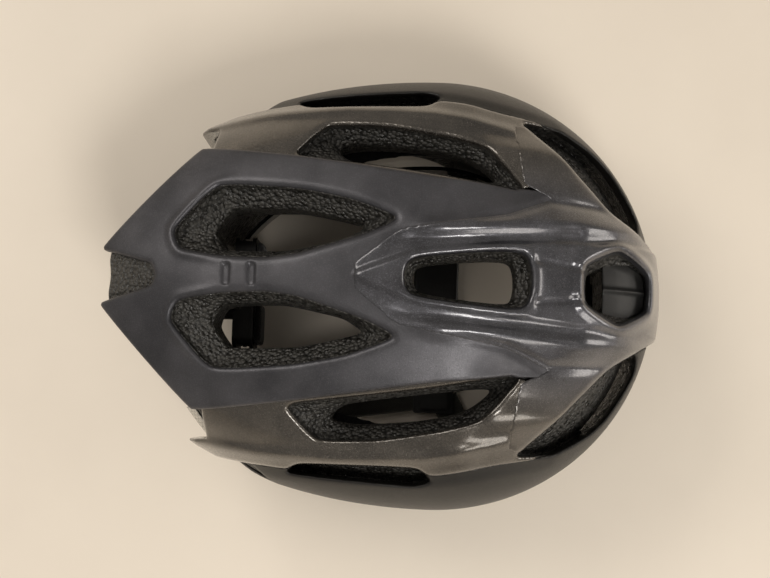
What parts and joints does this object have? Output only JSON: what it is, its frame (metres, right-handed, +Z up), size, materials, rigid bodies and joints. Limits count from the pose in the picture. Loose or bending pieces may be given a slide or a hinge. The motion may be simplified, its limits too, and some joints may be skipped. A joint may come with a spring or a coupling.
{
  "type": "bicycle helmet",
  "caption": "Vented in-mould cycling helmet with a pointed rear deck, foam liner, pads, chin strap with dividers and buckle, and a dial-adjusted head cradle.",
  "frame": {"origin": "on the ground plane under the middle of the helmet's length and width", "axes": "+X to the wearer's front, +Y to the wearer's left, +Z up"},
  "size_m": [0.278, 0.222, 0.1497],
  "materials": {
    "foam": "moulded bead foam, matte with glossy beads",
    "deck_paint": "satin slate grey with fine metallic flake",
    "crest_paint": "gloss dark blue-grey metallic under clear coat",
    "band_paint": "gloss warm grey metallic",
    "rim_paint": "gloss dark grey",
    "reflective": "pale reflective film",
    "pad_fabric": "brushed knit over foam",
    "hook_tape": "hook tape",
    "gloss_black": "polished nylon",
    "black_plastic": "moulded acetal",
    "knob_rubber": "ribbed soft-touch rubber",
    "strap_rubber": "smooth rubber",
    "webbing": "woven polyester webbing",
    "pin_steel": "ground pin"
  },
  "bodies": {
    "root": {"crown_foam": "foam", "side_foam_left": "foam", "side_foam_right": "foam", "crest_shell": "crest_paint", "rear_deck": "deck_paint", "side_band_left": "band_paint", "side_band_right": "band_paint", "rim_shell": "rim_paint", "reflector_left": "reflective", "reflector_right": "reflective", "brow_pad": "pad_fabric", "crown_pad": "pad_fabric", "side_pad_left": "pad_fabric", "side_pad_right": "pad_fabric", "pad_dots": "hook_tape", "temple_stud_left": "black_plastic", "temple_stud_right": "black_plastic", "slider_rail": "black_plastic", "buckle_socket": "black_plastic", "strap_ring": "strap_rubber", "chin_strap_left": "webbing", "strap_front_left": "webbing", "anchor_front_left": "black_plastic", "strap_front_right": "webbing", "anchor_front_right": "black_plastic", "strap_rear_left": "webbing", "anchor_rear_left": "black_plastic", "strap_rear_right": "webbing", "anchor_rear_right": "black_plastic", "divider_left": "black_plastic", "cam_pin_left": "pin_steel", "divider_right": "black_plastic", "cam_pin_right": "pin_steel"},
    "cradle": {"cradle_arm_left": "gloss_black", "cradle_arm_right": "gloss_black", "dial_cover": "gloss_black", "dial_housing": "gloss_black", "slider_strip": "gloss_black", "cradle_pad_left": "pad_fabric", "cradle_pad_right": "pad_fabric"},
    "dial": {"dial_knob": "knob_rubber", "dial_pinion": "black_plastic"},
    "rack_left": {"rack_band_left": "gloss_black"},
    "rack_right": {"rack_band_right": "gloss_black"},
    "tongue": {"buckle_tongue": "black_plastic", "chin_strap_right": "webbing"},
    "lever_left": {"cam_lever_left": "black_plastic"},
    "lever_right": {"cam_lever_right": "black_plastic"}
  },
  "joints": [
    {"name": "cradle_tilt", "type": "hinge", "parent": "root", "child": "cradle", "pos_m": [0.058, 0, 0.025], "axis": [0, 1, 0], "range_deg": [-3, 5]},
    {"name": "dial_turn", "type": "hinge", "parent": "cradle", "child": "dial", "pos_m": [-0.085, 0, 0.025], "axis": [1, 0, 0], "range_deg": [-85, 85]},
    {"name": "rack_left_slide", "type": "slide", "parent": "cradle", "child": "rack_left", "axis": [0, 1, 0], "range_m": [-0.009, 0.009]},
    {"name": "rack_right_slide", "type": "slide", "parent": "cradle", "child": "rack_right", "axis": [0, 1, 0], "range_m": [-0.009, 0.009]},
    {"name": "buckle_pull", "type": "slide", "parent": "root", "child": "tongue", "axis": [0, -1, 0], "range_m": [0, 0.012]},
    {"name": "lever_left_open", "type": "hinge", "parent": "root", "child": "lever_left", "pos_m": [0.028, 0.0425, 0.0084], "axis": [1, 0, 0], "range_deg": [0, 75]},
    {"name": "lever_right_open", "type": "hinge", "parent": "root", "child": "lever_right", "pos_m": [0.028, -0.0425, 0.0084], "axis": [-1, 0, 0], "range_deg": [0, 75]}
  ],
  "couplings": [
    {"joint": "rack_left_slide", "follows": "dial_turn", "m_per_rad": -0.006},
    {"joint": "rack_right_slide", "follows": "dial_turn", "m_per_rad": 0.006}
  ]
}
